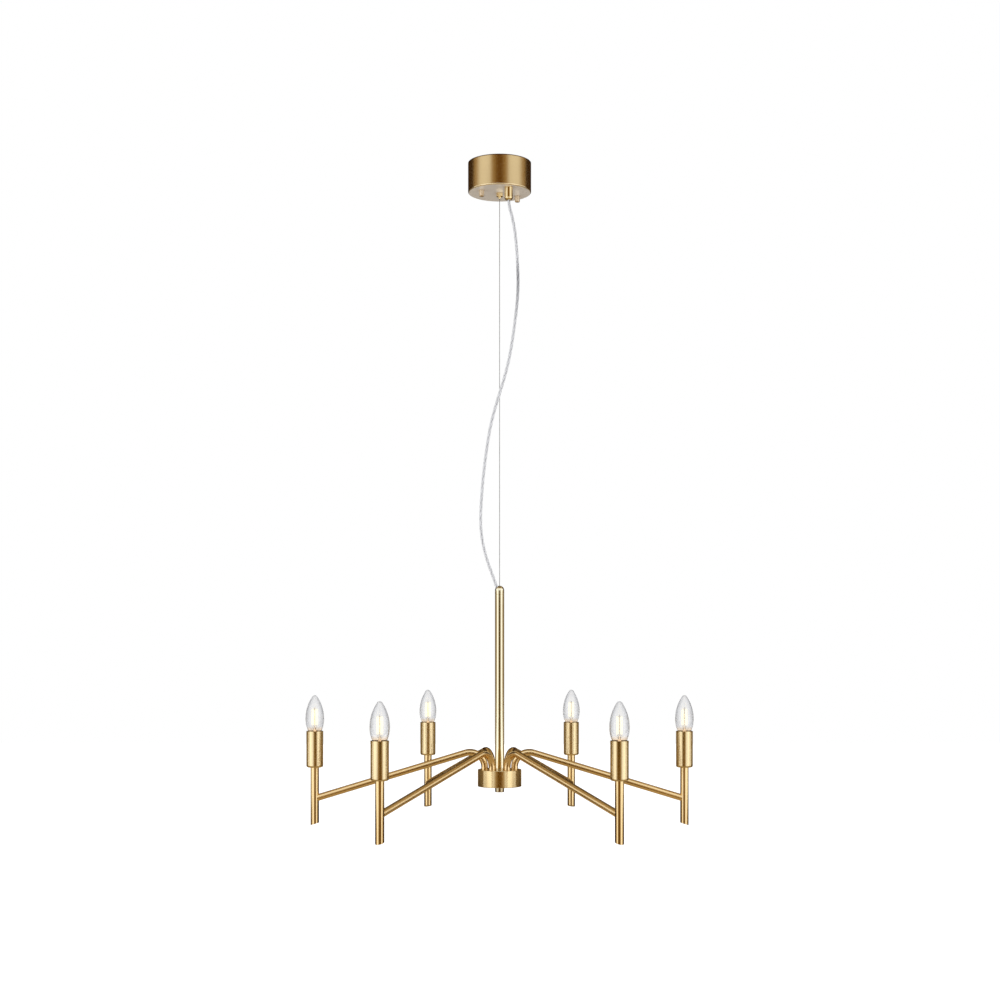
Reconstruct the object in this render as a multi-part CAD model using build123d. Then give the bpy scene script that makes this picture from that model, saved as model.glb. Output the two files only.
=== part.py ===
"""A six-arm brass chandelier for candle bulbs, hung from a ceiling canopy by one steel wire.

Millimetres. The origin is on the canopy's axis in the ceiling plane, +Z points up into the
ceiling, +X is to the right and -Y is the front, where the cord leaves the canopy.
"""

import os
from math import asin, atan2, cos, degrees, pi, radians, sin, sqrt, tan

from build123d import *

# Ceiling canopy, its bracket and the two studs with knurled nuts that hold it
canopy_radius = 60.0
canopy_height = 57.0
canopy_wall = 1.2
canopy_round = 2.5
stud_x = 34.0
stud_y = 20.0
stud_radius = 2.0
stud_hole_radius = 2.3
bracket_thickness = 2.5
bracket_width = 22.0
bracket_end_margin = 8.0
bracket_corner_radius = 10.5
ceiling_screw_pitch_radius = 26.0
ceiling_screw_hole_radius = 2.5
supply_hole_radius = 7.0
terminal_tab_reach = 33.0
terminal_tab_width = 24.0
terminal_length = 30.0
terminal_depth = 16.0
terminal_height = 13.0
terminal_wire_hole_radius = 1.9
terminal_ways = 3
terminal_wire_hole_drop = 2.0
terminal_screw_hole_radius = 1.6
terminal_screw_hole_depth = 4.0
block_corner_radius = 1.5
knurled_nut_radius = 5.3
knurled_nut_length = 11.5
knurled_nut_bore_depth = 9.0
knurled_nut_round = 1.4
knurl_count = 20
knurl_groove_radius = 0.45
knurl_margin_low = 2.4
knurl_margin_high = 1.2
nut_seat_gap = 0.05
thread_clearance = 0.05
stud_end_gap = 1.0

# Wire grip at the middle of the canopy and cord grip in front of it
wire_grip_barrel_radius = 5.0
wire_grip_barrel_top = 13.0
wire_grip_hex_flats = 12.0
wire_grip_hex_length = 7.0
wire_grip_nose_length = 4.3
wire_grip_nose_radius_top = 2.6
wire_grip_nose_radius_tip = 2.1
wire_grip_bore_radius = 1.0
wire_grip_mouth_radius = 1.5
grip_nut_flats = 14.0
grip_nut_length = 4.0
cord_grip_x = 17.0
cord_grip_y = -42.0
cord_grip_radius = 7.8
cord_grip_length = 25.0
cord_grip_round = 4.9
cord_grip_barrel_top = 11.0
cord_grip_bore_radius = 2.85

# Steel wire and clear cord that hang from the canopy
wire_radius = 0.75
wire_start_above_mouth = 2.0
wire_end_in_cap = 5.0
cord_radius = 2.75
cord_route = [
    (17.0, -42.0, -70.0),
    (17.0, -42.0, -90.0),
    (22.9, -41.2, -110.0),
    (28.7, -39.4, -137.0),
    (32.2, -37.2, -172.0),
    (34.4, -34.9, -210.0),
    (34.9, -32.8, -247.0),
    (32.0, -30.7, -284.0),
    (26.9, -28.4, -323.0),
    (20.6, -26.0, -365.0),
    (11.6, -24.0, -404.0),
    (0.9, -22.0, -439.0),
    (-9.8, -20.0, -473.0),
    (-18.7, -18.0, -509.0),
    (-25.3, -15.6, -551.0),
    (-31.0, -13.0, -597.0),
    (-34.8, -10.6, -642.0),
    (-36.6, -8.4, -682.0),
    (-33.6, -6.4, -719.0),
    (-24.9, -4.5, -754.0),
    (-13.9, -2.8, -784.0),
    (-7.0, -1.7, -803.0),
    (-3.9, -1.2, -812.5),
]
arc_share = 0.45

# Stem: domed cap, tube and the threaded rod that ties it to the hub
stem_radius = 8.75
stem_wall = 1.0
cap_top = -804.7
cap_skirt_length = 7.75
cap_wall = 1.6
cap_spigot_length = 9.0
cap_wire_hole_radius = 1.0
cap_boss_radius = 3.0
cap_boss_length = 9.0
cap_cord_hole_radius = 3.3
cap_cord_hole_depth = 40.0
rod_radius = 5.0
rod_bore_radius = 3.2
rod_bush_length = 17.0
rod_end_gap = 0.5
rod_above_bush = 6.0

# Hub drum with its cover, clamp plate, junction block and finial
hub_top = -1154.4
hub_height = 32.2
hub_radius = 41.6
hub_wall = 2.0
hub_top_thickness = 3.0
hub_bevel = 0.9
cover_thickness = 2.2
clamp_thickness = 2.0
clamp_radius = 38.0
clamp_wire_hole_radius = 4.0
junction_length = 30.0
junction_depth = 13.0
junction_height = 11.0
junction_y = 20.0
junction_wire_hole_radius = 1.4
finial_radius = 8.75
finial_height = 11.1
finial_bore_depth = 7.0
finial_round = 1.2

# Arms: a stub that turns in the hub, a bend and a straight fall to the candle post
arm_radius = 6.5
arm_wall = 1.1
stub_pitch_radius = 28.5
stub_above_hub = 4.5
stub_clearance = 0.05
collar_radius = 8.6
collar_height = 4.0
collar_play = 0.1
bend_radius = 28.0
arm_fall_degrees = 16.8
arm_reach = 323.5
arm_end_gap = 0.02
lead_radius = 1.9
lead_corner_radius = 4.2

# Candle post, sleeve, lampholder and bulb
post_radius = 8.0
post_wall = 1.2
post_end_wall = 2.0
post_low = -1260.4
post_spigot_radius = 6.6
post_spigot_length = 9.0
sleeve_radius = 16.0
sleeve_wall = 1.2
sleeve_floor = 1.5
sleeve_round = 4.0
sleeve_low = -1150.6
sleeve_high = -1081.4
holder_radius = 11.9
holder_neck_radius = 11.2
holder_neck_length = 16.0
holder_top_below_mouth = 9.5
holder_bore_radius = 7.4
holder_bore_depth = 29.0
bulb_tip = -1013.3
bulb_belly_radius = 17.5
bulb_belly_above_mouth = 23.0
bulb_neck_radius = 8.6
bulb_neck_below_mouth = 8.0
bulb_tip_radius = 5.5
bulb_wall = 0.8
base_radius = 6.95
base_length = 19.0
base_flange_radius = 8.8
base_flange_thickness = 1.2
base_thread_pitch = 2.82
base_thread_depth = 0.55
base_threads = 5
base_first_thread = 4.6
base_collar_height = 3.0
base_cone_lip = 1.0
base_insulator_length = 4.5
base_contact_radius = 2.6
base_contact_length = 2.6
mount_foot_radius = 6.4
mount_press_radius = 2.4
mount_flare_height = 8.0
mount_press_height = 11.0
mount_rod_radius = 0.9
mount_rod_above_mouth = 45.0
filament_radius = 1.2
filament_count = 4
filament_turn = 30.0
filament_ring_radius = 5.0
filament_low_above_mouth = 11.0
filament_length = 31.0
support_wire_radius = 0.35
support_overlap = 0.5

# Where each arm's stub stands in the hub, and which way the arm points in the photograph
arm_places = {
    "front_left": (240.0, 233.5),
    "left": (180.0, 180.0),
    "rear_left": (120.0, 115.0),
    "rear_right": (60.0, 65.0),
    "right": (0.0, 0.0),
    "front_right": (300.0, 306.5),
}

canopy_low = -canopy_height
canopy_floor = canopy_low + canopy_wall
wire_mouth = canopy_low - wire_grip_hex_length - wire_grip_nose_length
wire_top = wire_mouth + wire_start_above_mouth
cap_dome_centre = cap_top - stem_radius
cap_seam = cap_dome_centre - cap_skirt_length
hub_low = hub_top - hub_height
hub_ceiling = hub_top - hub_top_thickness
collar_high = hub_ceiling - collar_play
collar_low = collar_high - collar_height
clamp_high = collar_low - collar_play
bend_start = hub_top + stub_above_hub
fall = radians(arm_fall_degrees)
arm_corner = bend_start + bend_radius * tan((radians(90) + fall) / 2)
arm_joint = arm_corner - arm_reach * tan(fall)
stud_turn = degrees(atan2(stud_y, stud_x))


def rod(radius, low, high, x=0.0, y=0.0):
    """A cylinder along Z between two heights."""
    return Pos(x, y, (low + high) / 2) * Cylinder(radius, high - low)


def tube(outer, inner, low, high, x=0.0, y=0.0):
    """A pipe along Z between two heights."""
    return rod(outer, low, high, x, y) - rod(inner, low, high, x, y)


def hexagon(flats, low, high, x=0.0, y=0.0):
    """A hexagonal bar along Z, by the distance across its flats."""
    outline = RegularPolygon(flats / 2, 6, major_radius=False)
    return Pos(x, y, low) * extrude(outline, high - low)


def turned(points):
    """A solid turned about Z from a closed outline of radius and height."""
    outline = Polyline(*[(radius, 0, height) for radius, height in points], close=True)
    return revolve(make_face(outline), Axis.Z)


def save(name, *solids):
    """Write one piece, or one group of like pieces, under its own name."""
    shape = solids[0] if len(solids) == 1 else Compound(children=list(solids))
    export_step(shape, f"parts/{name}.step")


def low_edges(solid):
    """The edges that lie in a solid's lowest plane."""
    return solid.edges().group_by(Axis.Z)[0]


def make_bracket():
    """The ceiling strip: screw holes, supply hole, stud holes and a tab for the terminal block."""
    stud_pitch_radius = sqrt(stud_x**2 + stud_y**2)
    length = 2 * (stud_pitch_radius + bracket_end_margin)
    middle = -bracket_thickness / 2
    strip = Pos(0, 0, middle) * Box(length, bracket_width, bracket_thickness)
    strip = fillet(strip.edges().filter_by(Axis.Z), bracket_corner_radius)
    tab_centre = terminal_tab_reach / 2
    strip += Pos(0, tab_centre, middle) * Box(terminal_tab_width, terminal_tab_reach, bracket_thickness)
    strip -= rod(supply_hole_radius, -bracket_thickness, 0)
    for side in (-1, 1):
        strip -= rod(ceiling_screw_hole_radius, -bracket_thickness, 0, side * ceiling_screw_pitch_radius)
        strip -= rod(stud_radius, -bracket_thickness, 0, side * stud_pitch_radius)
    return Rot(0, 0, stud_turn) * strip


def make_terminal_block():
    """A three-way screw terminal that hangs under the bracket's tab."""
    middle_y = terminal_tab_reach - terminal_depth / 2
    middle_z = -bracket_thickness - terminal_height / 2
    block = Pos(0, middle_y, middle_z) * Box(terminal_length, terminal_depth, terminal_height)
    block = fillet(block.edges().filter_by(Axis.Z), block_corner_radius)
    pitch = terminal_length / terminal_ways
    for way in range(terminal_ways):
        x = (way - (terminal_ways - 1) / 2) * pitch
        wire_hole = Rot(90, 0, 0) * Cylinder(terminal_wire_hole_radius, terminal_depth)
        block -= Pos(x, middle_y, middle_z - terminal_wire_hole_drop) * wire_hole
        screw_low = -bracket_thickness - terminal_height
        screw_high = screw_low + terminal_screw_hole_depth
        block -= rod(terminal_screw_hole_radius, screw_low, screw_high, x, middle_y)
    return Rot(0, 0, stud_turn) * block


def make_canopy():
    """The cup that hides the ceiling bracket."""
    cup = rod(canopy_radius, canopy_low, 0)
    cup = fillet(low_edges(cup), canopy_round)
    hollow = rod(canopy_radius - canopy_wall, canopy_floor, 0)
    cup -= fillet(low_edges(hollow), canopy_round - canopy_wall)
    cup -= rod(wire_grip_barrel_radius, canopy_low, canopy_floor)
    cup -= rod(wire_grip_barrel_radius, canopy_low, canopy_floor, cord_grip_x, cord_grip_y)
    for side in (-1, 1):
        cup -= rod(stud_hole_radius, canopy_low, canopy_floor, side * stud_x, side * stud_y)
    return cup


def make_knurled_nut(side):
    """A long round nut with a knurled side, a rounded end and a blind thread."""
    x = side * stud_x
    y = side * stud_y
    high = canopy_low - nut_seat_gap
    low = high - knurled_nut_length
    nut = rod(knurled_nut_radius, low, high)
    nut = fillet(low_edges(nut), knurled_nut_round)
    for groove in range(knurl_count):
        turn = 2 * pi * groove / knurl_count
        groove_x = knurled_nut_radius * cos(turn)
        groove_y = knurled_nut_radius * sin(turn)
        nut -= rod(knurl_groove_radius, low + knurl_margin_low, high - knurl_margin_high, groove_x, groove_y)
    nut -= rod(stud_radius + thread_clearance, high - knurled_nut_bore_depth, high)
    return Pos(x, y, 0) * nut


def make_wire_grip():
    """A screwed barrel with a hexagon, an inner lock nut and a tapered nose for the wire."""
    hex_low = canopy_low - wire_grip_hex_length
    grip = rod(wire_grip_barrel_radius, canopy_low, canopy_low + wire_grip_barrel_top)
    grip += hexagon(wire_grip_hex_flats, hex_low, canopy_low)
    grip += hexagon(grip_nut_flats, canopy_floor, canopy_floor + grip_nut_length)
    nose = [
        (0, wire_mouth),
        (wire_grip_nose_radius_tip, wire_mouth),
        (wire_grip_nose_radius_top, hex_low),
        (0, hex_low),
    ]
    grip += turned(nose)
    mouth = [
        (0, wire_mouth),
        (wire_grip_mouth_radius, wire_mouth),
        (wire_grip_bore_radius, hex_low),
        (0, hex_low),
    ]
    grip -= turned(mouth)
    return grip - rod(wire_grip_bore_radius, hex_low, canopy_low + wire_grip_barrel_top)


def make_cord_grip():
    """A bullet-shaped strain relief, screwed through the canopy's floor."""
    low = canopy_low - cord_grip_length
    high = canopy_low + cord_grip_barrel_top
    bullet = rod(cord_grip_radius, low, canopy_low)
    bullet = fillet(low_edges(bullet), cord_grip_round)
    bullet += rod(wire_grip_barrel_radius, canopy_low, high)
    bullet += hexagon(grip_nut_flats, canopy_floor, canopy_floor + grip_nut_length)
    bullet -= rod(cord_grip_bore_radius, low, high)
    return Pos(cord_grip_x, cord_grip_y, 0) * bullet


def make_cord():
    """The clear cord: straight runs joined by arcs as large as the runs allow."""
    points = [Vector(*point) for point in cord_route]
    radii = []
    for before, corner, after in zip(points, points[1:], points[2:]):
        turn = radians((corner - before).get_angle(after - corner))
        shorter = min((corner - before).length, (after - corner).length)
        radii.append(arc_share * shorter / tan(turn / 2))
    print("cord radii", [round(radius) for radius in radii])
    path = FilletPolyline(*points, radius=radii)
    section = Plane(origin=path @ 0, z_dir=path % 0) * Circle(cord_radius)
    cord = sweep(section, path)
    share = cord.volume / (pi * cord_radius**2 * path.length)
    print("cord length", round(path.length, 1), "volume against section times length", round(share, 5))
    return cord


def make_stem_cap():
    """A hollow dome with a wire boss at the top, a cord hole in its shoulder and a spigot below."""
    outside = Pos(0, 0, cap_dome_centre) * Sphere(stem_radius)
    outside &= rod(stem_radius, cap_dome_centre, cap_top)
    cap = outside + rod(stem_radius, cap_seam, cap_dome_centre)
    spigot_low = cap_seam - cap_spigot_length
    cap += rod(stem_radius - stem_wall, spigot_low, cap_seam)
    inner_radius = stem_radius - cap_wall
    cap -= rod(inner_radius - stem_wall, spigot_low, cap_seam)
    cap -= rod(inner_radius, cap_seam, cap_dome_centre)
    dome_hollow = Pos(0, 0, cap_dome_centre) * Sphere(inner_radius)
    cap -= dome_hollow & rod(inner_radius, cap_dome_centre, cap_top)
    cap += rod(cap_boss_radius, cap_top - cap_boss_length, cap_top - cap_wall / 2)
    exit_point = Vector(*cord_route[-1])
    exit_way = Vector(*cord_route[-2]) - exit_point
    hole = Plane(origin=exit_point, z_dir=exit_way) * Cylinder(cap_cord_hole_radius, cap_cord_hole_depth)
    cap -= hole
    return cap - rod(cap_wire_hole_radius, cap_top - wire_end_in_cap, cap_top)


def make_stem_rod():
    """The threaded rod from the stem's foot to the finial, with the bush that carries the tube."""
    low = hub_low - finial_bore_depth + rod_end_gap
    high = hub_top + rod_bush_length + rod_above_bush
    shaft = rod(rod_radius, low, high)
    shaft += rod(stem_radius - stem_wall, hub_top, hub_top + rod_bush_length)
    return shaft - rod(rod_bore_radius, low, high)


def make_hub():
    """The drum: a flat top with six stub holes and a straight wall, open below."""
    drum = rod(hub_radius, hub_low, hub_top)
    drum = chamfer(drum.edges().filter_by(GeomType.CIRCLE), hub_bevel)
    drum -= rod(hub_radius - hub_wall, hub_low, hub_ceiling)
    drum -= rod(rod_radius, hub_ceiling, hub_top)
    for stub_angle, _ in arm_places.values():
        x = stub_pitch_radius * cos(radians(stub_angle))
        y = stub_pitch_radius * sin(radians(stub_angle))
        drum -= rod(arm_radius + stub_clearance, hub_ceiling, hub_top, x, y)
    return drum


def make_clamp_plate():
    """The inner plate that the finial draws up against the arm collars."""
    plate = tube(clamp_radius, rod_radius, clamp_high - clamp_thickness, clamp_high)
    for stub_angle, _ in arm_places.values():
        x = stub_pitch_radius * cos(radians(stub_angle))
        y = stub_pitch_radius * sin(radians(stub_angle))
        plate -= rod(clamp_wire_hole_radius, clamp_high - clamp_thickness, clamp_high, x, y)
    return plate


def make_junction_block():
    """The block inside the hub where the cord branches to the arm leads."""
    low = hub_low + cover_thickness
    middle = low + junction_height / 2
    block = Pos(0, junction_y, middle) * Box(junction_length, junction_depth, junction_height)
    block = fillet(block.edges().filter_by(Axis.Z), block_corner_radius)
    pitch = junction_length / len(arm_places)
    for way in range(len(arm_places)):
        x = (way - (len(arm_places) - 1) / 2) * pitch
        wire_hole = Rot(90, 0, 0) * Cylinder(junction_wire_hole_radius, junction_depth)
        block -= Pos(x, junction_y, middle) * wire_hole
    return block


def make_hub_cover():
    """The disc that closes the drum from below."""
    return tube(hub_radius - hub_wall, rod_radius, hub_low, hub_low + cover_thickness)


def make_finial():
    """The round nut under the hub that holds cover and clamp plate."""
    high = hub_low - nut_seat_gap
    low = hub_low - finial_height
    nut = rod(finial_radius, low, high)
    nut = fillet(low_edges(nut), finial_round)
    return nut - rod(rod_radius + thread_clearance, hub_low - finial_bore_depth, high)


def placed(solid, place):
    """Carry a piece from the arm's own frame, stub on Z and arm along +X, to its place."""
    stub_angle, arm_angle = arm_places[place]
    x = stub_pitch_radius * cos(radians(stub_angle))
    y = stub_pitch_radius * sin(radians(stub_angle))
    return Pos(x, y, 0) * Rot(0, 0, arm_angle) * solid


def along_arm(radius, low):
    """A bar along the arm's centre line, from a height inside the hub to the post's axis."""
    path = FilletPolyline((0, 0, low), (0, 0, arm_corner), (arm_reach, 0, arm_joint), radius=bend_radius)
    return sweep(Pos(0, 0, low) * Circle(radius), path)


def make_arm():
    """The bent tube, with a collar at its foot and its end cut to sit on the post."""
    arm = along_arm(arm_radius, collar_low)
    arm += rod(collar_radius, collar_low, collar_high)
    arm -= along_arm(arm_radius - arm_wall, collar_low)
    return arm - rod(post_radius + arm_end_gap, post_low, sleeve_high, arm_reach)


def make_post():
    """The upright tube: closed by a slanted end, with a spigot on top for the lampholder."""
    spigot_high = sleeve_low + post_spigot_length
    post = rod(post_radius, post_low, sleeve_low)
    post += rod(post_spigot_radius, sleeve_low, spigot_high)
    bore_radius = post_spigot_radius - post_wall
    inside = rod(bore_radius, post_low, spigot_high)
    slope = Plane(origin=(post_radius, 0, post_low), z_dir=(sin(fall), 0, cos(fall)))
    post = split(post, slope, keep=Keep.TOP)
    post -= split(inside, slope.offset(post_end_wall), keep=Keep.TOP)
    post = Pos(arm_reach, 0, 0) * post
    return post - along_arm(arm_radius - arm_wall, collar_low)


def make_sleeve():
    """The candle sleeve: a cup whose floor is held on the post's shoulder."""
    cup = rod(sleeve_radius, sleeve_low, sleeve_high)
    cup = fillet(low_edges(cup), sleeve_round)
    hollow = rod(sleeve_radius - sleeve_wall, sleeve_low + sleeve_floor, sleeve_high)
    cup -= fillet(low_edges(hollow), sleeve_round - sleeve_wall)
    cup -= rod(post_spigot_radius, sleeve_low, sleeve_low + sleeve_floor)
    return Pos(arm_reach, 0, 0) * cup


def make_lampholder():
    """The screw lampholder inside the sleeve, and the lead that it comes with."""
    low = sleeve_low + sleeve_floor
    high = sleeve_high - holder_top_below_mouth
    spigot_high = sleeve_low + post_spigot_length
    body = rod(holder_radius, low, high - holder_neck_length)
    body += rod(holder_neck_radius, high - holder_neck_length, high)
    body -= rod(holder_bore_radius, high - holder_bore_depth, high)
    body -= rod(post_spigot_radius, low, spigot_high)
    corner = (arm_reach, 0, arm_joint)
    path = FilletPolyline(
        (0, 0, collar_low),
        (0, 0, arm_corner),
        corner,
        (arm_reach, 0, spigot_high),
        radius=[bend_radius, lead_corner_radius],
    )
    lead = sweep(Pos(0, 0, collar_low) * Circle(lead_radius), path)
    return Pos(arm_reach, 0, 0) * body, lead


def bulb_outline(inset):
    """Half the bulb's outline, drawn in by the glass thickness: neck arc, long candle arc and round tip."""
    belly = sleeve_high + bulb_belly_above_mouth
    neck = sleeve_high - bulb_neck_below_mouth
    rise = belly - neck
    spread = bulb_belly_radius - bulb_neck_radius
    neck_arc = (rise**2 + spread**2) / (2 * spread)
    tip_height = bulb_tip - bulb_tip_radius - belly
    tip_gap = bulb_belly_radius - bulb_tip_radius
    candle_arc = bulb_tip_radius + (tip_height**2 + tip_gap**2) / (2 * tip_gap)
    neck_centre = bulb_belly_radius - neck_arc
    candle_centre = bulb_belly_radius - candle_arc
    tip_turn = atan2(tip_height, -candle_centre)

    def on_neck(turn):
        return neck_centre + (neck_arc - inset) * cos(turn), 0, belly - (neck_arc - inset) * sin(turn)

    def on_candle(turn):
        return candle_centre + (candle_arc - inset) * cos(turn), 0, belly + (candle_arc - inset) * sin(turn)

    def on_tip(turn):
        radius = bulb_tip_radius - inset
        return radius * cos(turn), 0, belly + tip_height + radius * sin(turn)

    neck_turn = asin(rise / (neck_arc - inset))
    flank = ThreePointArc(on_neck(neck_turn), on_neck(neck_turn / 2), on_neck(0))
    candle = ThreePointArc(on_candle(0), on_candle(tip_turn / 2), on_candle(tip_turn))
    tip = ThreePointArc(on_candle(tip_turn), on_tip((tip_turn + pi / 2) / 2), on_tip(pi / 2))
    axis = Line(tip @ 1, (0, 0, neck))
    foot = Line((0, 0, neck), flank @ 0)
    return make_face(Wire([flank, candle, tip, axis, foot]))


def make_bulb_glass():
    """The clear candle-shaped envelope."""
    glass = revolve(bulb_outline(0.0), Axis.Z) - revolve(bulb_outline(bulb_wall), Axis.Z)
    return Pos(arm_reach, 0, 0) * glass


def make_bulb_base():
    """The screw base: a threaded shell, an insulating cone and the end contact."""
    high = sleeve_high - bulb_neck_below_mouth
    shell_low = high - base_length
    cone_low = shell_low - base_insulator_length
    base = rod(base_radius - base_thread_depth, shell_low, high)
    base += rod(base_radius, high - base_collar_height, high)
    base += rod(base_flange_radius, high - base_flange_thickness, high)
    for thread in range(base_threads):
        middle = high - base_first_thread - base_thread_pitch * thread
        ring = [
            (0, middle - base_thread_pitch / 2),
            (base_radius - base_thread_depth, middle - base_thread_pitch / 2),
            (base_radius, middle),
            (base_radius - base_thread_depth, middle + base_thread_pitch / 2),
            (0, middle + base_thread_pitch / 2),
        ]
        base += turned(ring)
    cone = [
        (0, cone_low),
        (base_contact_radius + base_cone_lip, cone_low),
        (base_radius - base_thread_depth, shell_low),
        (0, shell_low),
    ]
    base += turned(cone)
    base += rod(base_contact_radius, cone_low - base_contact_length, cone_low)
    return Pos(arm_reach, 0, 0) * base


def wire_between(start, end, radius):
    """A straight wire from one point to another."""
    middle = Plane(origin=(start + end) / 2, z_dir=end - start)
    return middle * Cylinder(radius, (end - start).length)


def make_filaments(place):
    """The glass mount inside the bulb, its ring of upright filaments and the wires that hold them."""
    foot = sleeve_high - bulb_neck_below_mouth
    press_top = foot + mount_press_height
    flare = [
        (0, foot),
        (mount_foot_radius, foot),
        (mount_press_radius, foot + mount_flare_height),
        (mount_press_radius, press_top),
        (0, press_top),
    ]
    rod_top = sleeve_high + mount_rod_above_mouth
    mount = turned(flare) + rod(mount_rod_radius, press_top, rod_top)
    low = sleeve_high + filament_low_above_mouth
    high = low + filament_length
    _, arm_angle = arm_places[place]
    for number in range(filament_count):
        turn = radians(filament_turn - arm_angle + number * 360 / filament_count)
        x = filament_ring_radius * cos(turn)
        y = filament_ring_radius * sin(turn)
        lead_start = Vector(0, 0, press_top - support_overlap)
        lead_end = Vector(x, y, low + support_overlap)
        spoke_height = high - support_overlap
        mount += rod(filament_radius, low, high, x, y)
        mount += wire_between(lead_start, lead_end, support_wire_radius)
        mount += wire_between(Vector(0, 0, spoke_height), Vector(x, y, spoke_height), support_wire_radius)
    return Pos(arm_reach, 0, 0) * mount


os.makedirs("parts", exist_ok=True)
save("ceiling_bracket", make_bracket())
stud_low = canopy_low - knurled_nut_bore_depth + stud_end_gap
studs = [rod(stud_radius, stud_low, 0, side * stud_x, side * stud_y) for side in (-1, 1)]
save("bracket_studs", *studs)
save("terminal_block", make_terminal_block())
save("canopy_cup", make_canopy())
save("canopy_nut_left", make_knurled_nut(-1))
save("canopy_nut_right", make_knurled_nut(1))
save("wire_grip", make_wire_grip())
save("cord_grip", make_cord_grip())
save("suspension_wire", rod(wire_radius, cap_top - wire_end_in_cap, wire_top))
save("power_cord", make_cord())
save("stem_cap", make_stem_cap())
save("stem_tube", tube(stem_radius, stem_radius - stem_wall, hub_top, cap_seam))
save("stem_rod", make_stem_rod())
save("hub_shell", make_hub())
save("arm_clamp_plate", make_clamp_plate())
save("junction_block", make_junction_block())
save("hub_cover", make_hub_cover())
save("finial", make_finial())

for place in arm_places:
    save(f"arm_{place}", placed(make_arm(), place))
    save(f"post_{place}", placed(make_post(), place))
    save(f"sleeve_{place}", placed(make_sleeve(), place))
    save(f"lampholder_{place}", *[placed(solid, place) for solid in make_lampholder()])
    save(f"bulb_glass_{place}", placed(make_bulb_glass(), place))
    save(f"bulb_base_{place}", placed(make_bulb_base(), place))
    save(f"filaments_{place}", placed(make_filaments(place), place))
print("wire top", wire_top, "cap top", cap_top, "post axis meets arm at", round(arm_joint, 1))
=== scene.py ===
# %% [markdown]
# # A six-arm brass chandelier
# The lamp hangs from a round canopy by one steel wire, with a clear cord beside it. A thin stem
# carries a drum, six bent arms leave the drum's top, and each arm holds an upright candle.
# The imported model is loaded first. It is the frame: every piece below is made in metres, in the
# same place as the part it stands for, and each piece but the two lengths of cord rides on that part's
# body.

# %% The imported frame
from math import asin, atan2, cos, degrees, dist, pi, radians, sin, sqrt

import bpy
from mathutils import Matrix, Vector


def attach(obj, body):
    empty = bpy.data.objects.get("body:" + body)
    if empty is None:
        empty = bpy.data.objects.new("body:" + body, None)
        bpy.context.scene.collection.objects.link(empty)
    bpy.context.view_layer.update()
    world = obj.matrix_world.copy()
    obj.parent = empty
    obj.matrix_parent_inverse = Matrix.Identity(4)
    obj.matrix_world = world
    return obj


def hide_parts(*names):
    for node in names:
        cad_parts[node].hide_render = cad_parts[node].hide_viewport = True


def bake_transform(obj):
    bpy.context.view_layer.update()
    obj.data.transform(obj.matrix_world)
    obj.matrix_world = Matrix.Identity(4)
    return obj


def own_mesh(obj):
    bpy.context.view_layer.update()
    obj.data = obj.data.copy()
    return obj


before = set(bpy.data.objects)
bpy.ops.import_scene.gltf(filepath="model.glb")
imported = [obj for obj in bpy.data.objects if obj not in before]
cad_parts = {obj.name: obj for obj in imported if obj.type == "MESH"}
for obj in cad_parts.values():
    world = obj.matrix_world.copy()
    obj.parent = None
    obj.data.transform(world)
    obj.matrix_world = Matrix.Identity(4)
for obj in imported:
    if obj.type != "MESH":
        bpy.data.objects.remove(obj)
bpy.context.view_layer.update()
scene = bpy.context.scene
mm = 0.001

# %% [markdown]
# ## The camera
# The picture is taken from the front, three metres away and level with the stem. The camera
# looks straight ahead, so upright tubes stay upright, and the view is moved with the lens shift
# instead of by tilting the camera.

# %% Camera
camera_lens = bpy.data.cameras.new("camera")
camera_lens.sensor_width = 36
camera_lens.lens = 56.7
camera_lens.shift_x = 0.0004
camera_lens.shift_y = 0.138
camera = bpy.data.objects.new("camera", camera_lens)
scene.collection.objects.link(camera)
camera.location = (0, -3.0, -0.9043)
camera.rotation_euler = (radians(90), 0, 0)
scene.camera = camera
scene.view_settings.view_transform = "Standard"
print("camera at", tuple(round(x, 3) for x in camera.location))

# %% [markdown]
# ## Two hanging lines
# A cord is drawn as one smooth curve through the air. Its route is a short list of points, and a
# NURBS curve with those points as its controls gives the soft S that the cord hangs in. The
# curve is then read back as a row of points, and a tube is built round them: that keeps the
# clear sleeve and the wires inside it on exactly the same line.

# %% Routes of the cord and the wire
cord_route = [
    (17.0, -42.0, -70.0), (17.0, -42.0, -90.0), (22.9, -41.2, -110.0), (28.7, -39.4, -137.0),
    (32.2, -37.2, -172.0), (34.4, -34.9, -210.0), (34.9, -32.8, -247.0), (32.0, -30.7, -284.0),
    (26.9, -28.4, -323.0), (20.6, -26.0, -365.0), (11.6, -24.0, -404.0), (0.9, -22.0, -439.0),
    (-9.8, -20.0, -473.0), (-18.7, -18.0, -509.0), (-25.3, -15.6, -551.0), (-31.0, -13.0, -597.0),
    (-34.8, -10.6, -642.0), (-36.6, -8.4, -682.0), (-33.6, -6.4, -719.0), (-24.9, -4.5, -754.0),
    (-13.9, -2.8, -784.0), (-7.0, -1.7, -803.0), (-3.9, -1.2, -812.5),
]
wire_route = [(0, 0, -66.3), (0, 0, -437.0), (0, 0, -809.7)]


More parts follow.
